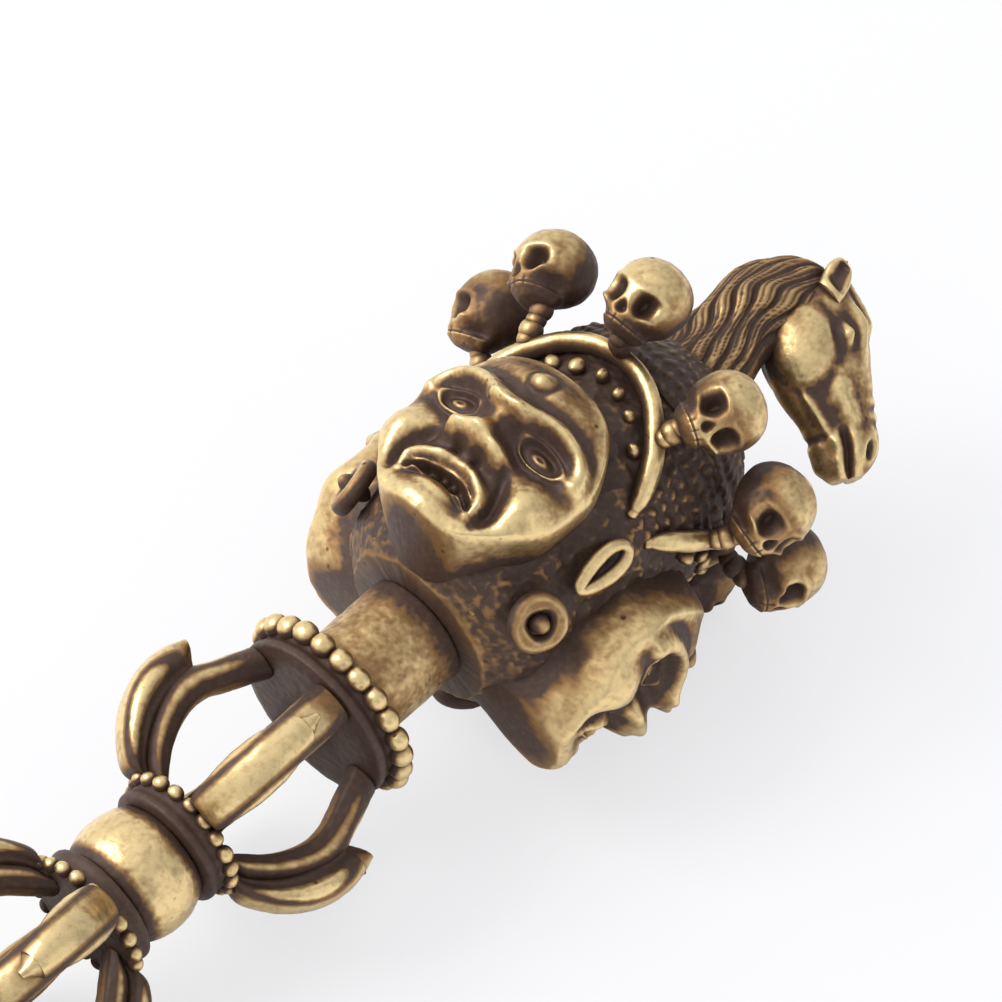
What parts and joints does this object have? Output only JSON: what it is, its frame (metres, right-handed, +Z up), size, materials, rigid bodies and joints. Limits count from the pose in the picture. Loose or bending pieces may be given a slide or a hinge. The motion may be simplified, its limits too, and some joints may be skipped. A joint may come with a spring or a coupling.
{
  "type": "ritual dagger",
  "caption": "Ritual dagger with a vajra grip, a three-masked head with skulls and a horse finial, and a three-edged blade.",
  "frame": {"origin": "middle of the box's bottom face, on the surface that the object lies on", "axes": "+X along the dagger from the blade's tip to the horse, its head end raised a few degrees; +Z up, through one of the three masks; +Y across"},
  "size_m": [0.1178, 0.0266, 0.0268],
  "materials": {
    "brass_aged": "cast brass with dark patina in the recesses and rubbed high spots",
    "brass_rubbed": "cast brass rubbed bright by handling",
    "brass_dark": "brass under a dark brown patina"
  },
  "bodies": {
    "root": {"core_rod": "brass_dark", "knob": "brass_rubbed", "knob_collar_upper": "brass_aged", "knob_collar_lower": "brass_aged", "prong_upper_1": "brass_rubbed", "prong_upper_2": "brass_rubbed", "prong_upper_3": "brass_rubbed", "prong_upper_4": "brass_rubbed", "prong_lower_1": "brass_rubbed", "prong_lower_2": "brass_rubbed", "prong_lower_3": "brass_rubbed", "prong_lower_4": "brass_rubbed", "rim_collar_upper": "brass_aged", "rim_collar_lower": "brass_aged", "neck": "brass_rubbed", "head": "brass_aged", "ear_1": "brass_aged", "ear_2": "brass_aged", "ear_3": "brass_aged", "earring_1": "brass_aged", "earring_2": "brass_aged", "earring_3": "brass_aged", "band_1": "brass_aged", "band_2": "brass_aged", "band_3": "brass_aged", "skull_1": "brass_aged", "skull_2": "brass_aged", "skull_3": "brass_aged", "skull_4": "brass_aged", "skull_5": "brass_aged", "skull_6": "brass_aged", "skull_7": "brass_aged", "skull_8": "brass_aged", "skull_9": "brass_aged", "crown": "brass_dark", "horse_head": "brass_aged", "boss": "brass_aged", "beast_1": "brass_aged", "beast_2": "brass_aged", "beast_3": "brass_aged", "blade": "brass_rubbed"}
  },
  "joints": []
}
